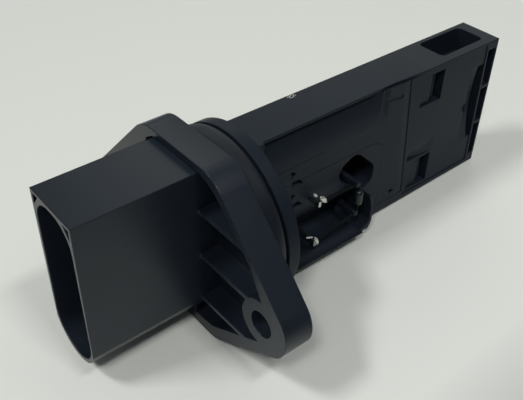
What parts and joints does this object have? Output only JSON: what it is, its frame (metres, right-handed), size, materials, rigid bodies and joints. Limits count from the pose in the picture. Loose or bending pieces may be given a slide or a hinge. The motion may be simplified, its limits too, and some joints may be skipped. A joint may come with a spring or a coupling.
{
  "type": "plug-in mass airflow sensor",
  "caption": "Black plug-in airflow sensor: connector shroud, two-ear flange, sealing ring and a flat blade with covered electronics, bypass channel and open air-temperature sensor.",
  "frame": {"origin": "on the collar's axis, in the plane of the flange's seating face, where the probe enters the duct", "axes": "+X along the probe towards its tip, +Z across the blade towards the edge with the air inlet, -Y towards the side with the covers"},
  "size_m": [0.1014, 0.0576, 0.037],
  "materials": {
    "housing": "fine-grained black moulding",
    "cover": "fine-grained black moulding",
    "seal": "satin black",
    "plate": "satin",
    "ceramic_board": "matt white",
    "chip_package": "smooth",
    "capacitor": "matt tan",
    "carrier": "satin",
    "silicon": "polished",
    "gel": "soft and clear",
    "contact": "bright tin",
    "bead": "smooth",
    "wire": "bright"
  },
  "bodies": {
    "root": {"sensor_body": "housing", "electronics_cover": "cover", "channel_cover": "cover", "sealing_ring": "seal", "base_plate": "plate", "circuit_board": "ceramic_board", "signal_chip": "chip_package", "trim_chip": "chip_package", "chip_carrier": "carrier", "sensing_chip": "silicon", "protective_gel": "gel", "thermistor_bead": "bead", "thermistor_lead_upper": "contact", "thermistor_lead_lower": "contact", "capacitor_1": "capacitor", "capacitor_2": "capacitor", "capacitor_3": "capacitor", "capacitor_4": "capacitor", "terminal_1": "contact", "terminal_2": "contact", "terminal_3": "contact", "terminal_4": "contact", "terminal_5": "contact", "bond_ribbon_2": "wire", "bond_ribbon_3": "wire", "bond_ribbon_4": "wire", "bond_ribbon_5": "wire"}
  },
  "joints": []
}
